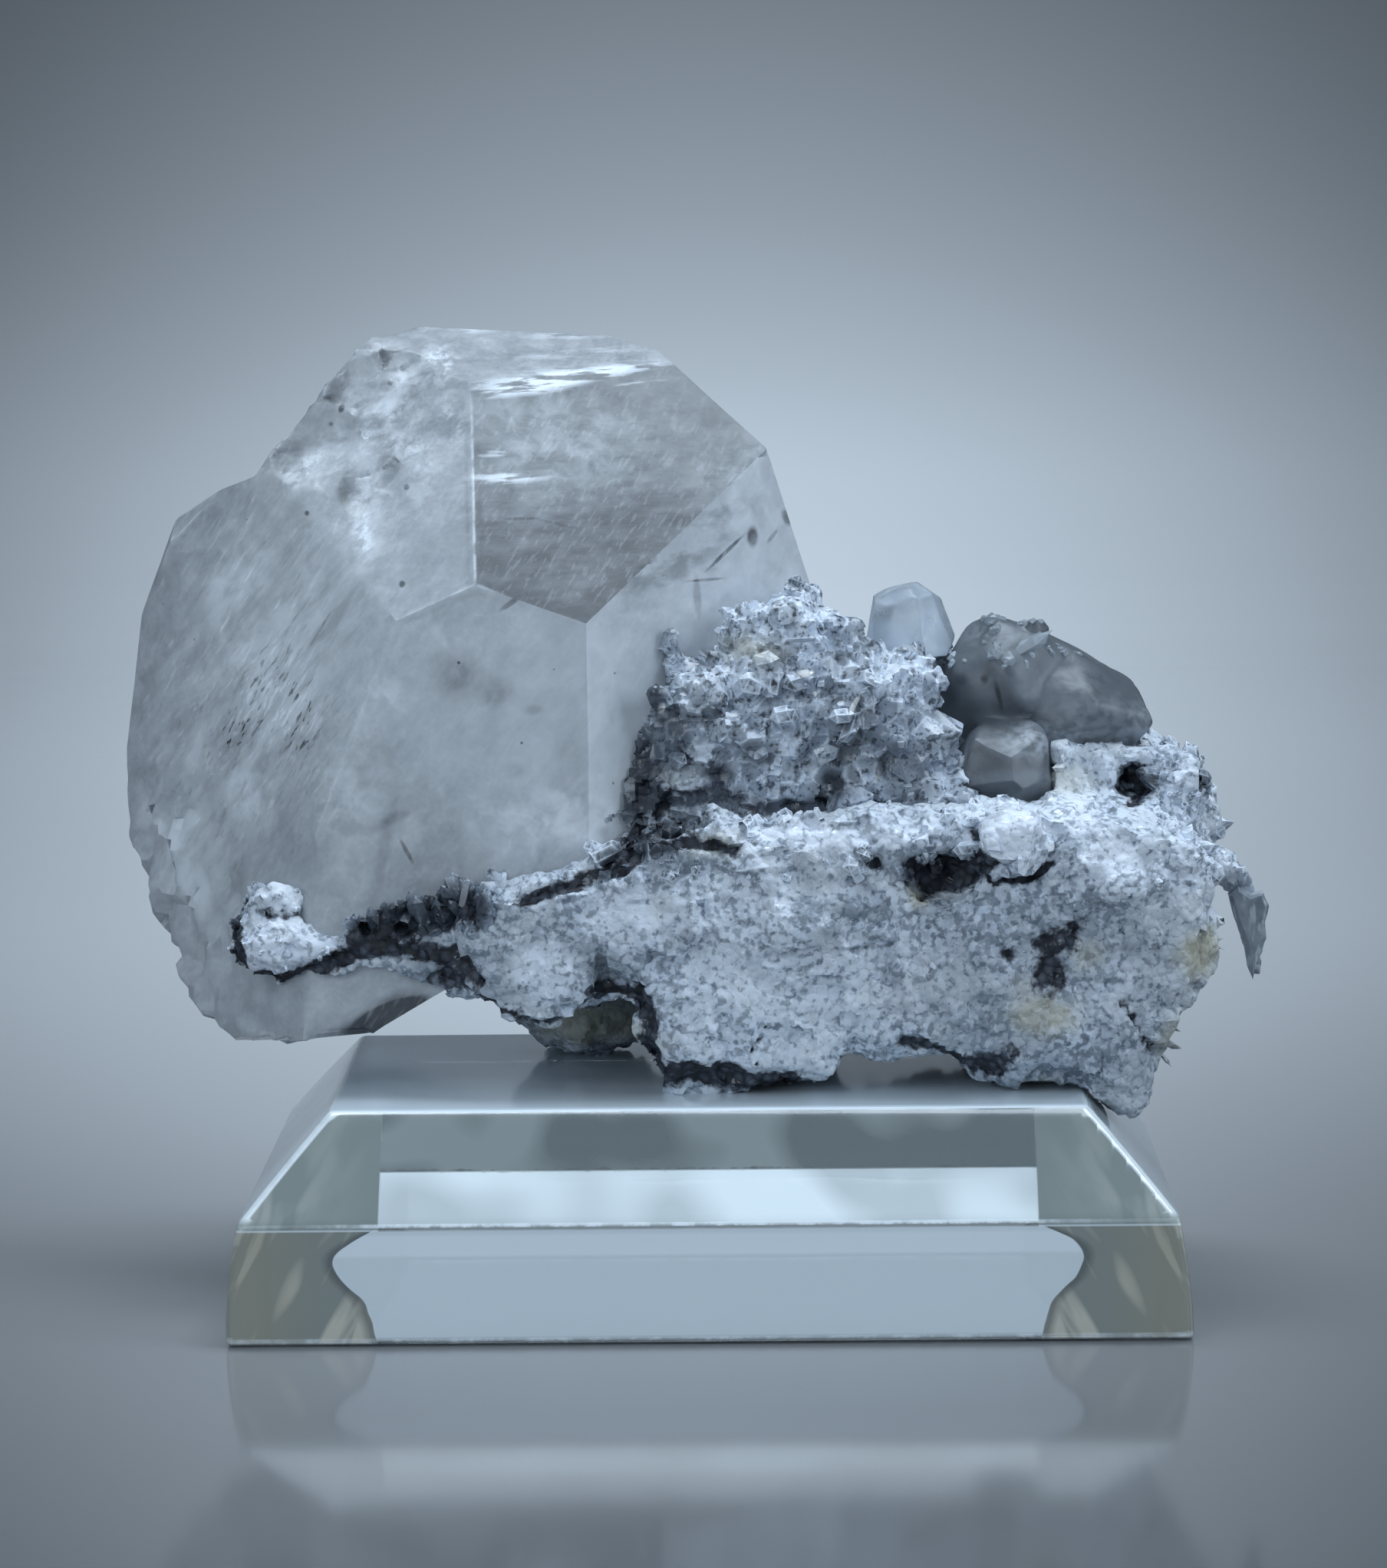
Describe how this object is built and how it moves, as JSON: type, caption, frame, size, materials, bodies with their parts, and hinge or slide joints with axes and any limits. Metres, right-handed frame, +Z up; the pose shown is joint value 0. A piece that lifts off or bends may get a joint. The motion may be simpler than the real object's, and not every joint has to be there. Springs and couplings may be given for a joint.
{
  "type": "calcite specimen on a clear stand",
  "caption": "Large pale faceted calcite crystal on drusy quartz matrix with a coarse crystal crust and grey calcite, resting on a clear bevelled display stand.",
  "frame": {"origin": "centre of the stand's underside", "axes": "+Z up, -Y towards the viewer's side, +X along the stand's long side, towards the grey calcite"},
  "size_m": [0.1262, 0.0814, 0.1048],
  "materials": {
    "acrylic_stand": "clear, polished, with slightly soft edges and small chips along the top edge",
    "large_calcite": "translucent pale grey crystal, satin faces with fine striations, white veils and small dark inclusions",
    "grey_calcite": "translucent smoky grey crystal, satin faces",
    "small_calcite": "nearly clear crystal, frosted at its foot",
    "quartz_matrix": "sugary white to blue-grey fine quartz with dark pits",
    "quartz_crust": "coarse glassy blue-grey quartz crystals with white grains between"
  },
  "bodies": {
    "root": {"acrylic_stand": "acrylic_stand", "large_calcite": "large_calcite", "grey_calcite": "grey_calcite", "small_calcite": "small_calcite", "quartz_matrix": "quartz_matrix", "quartz_crust": "quartz_crust"}
  },
  "joints": []
}
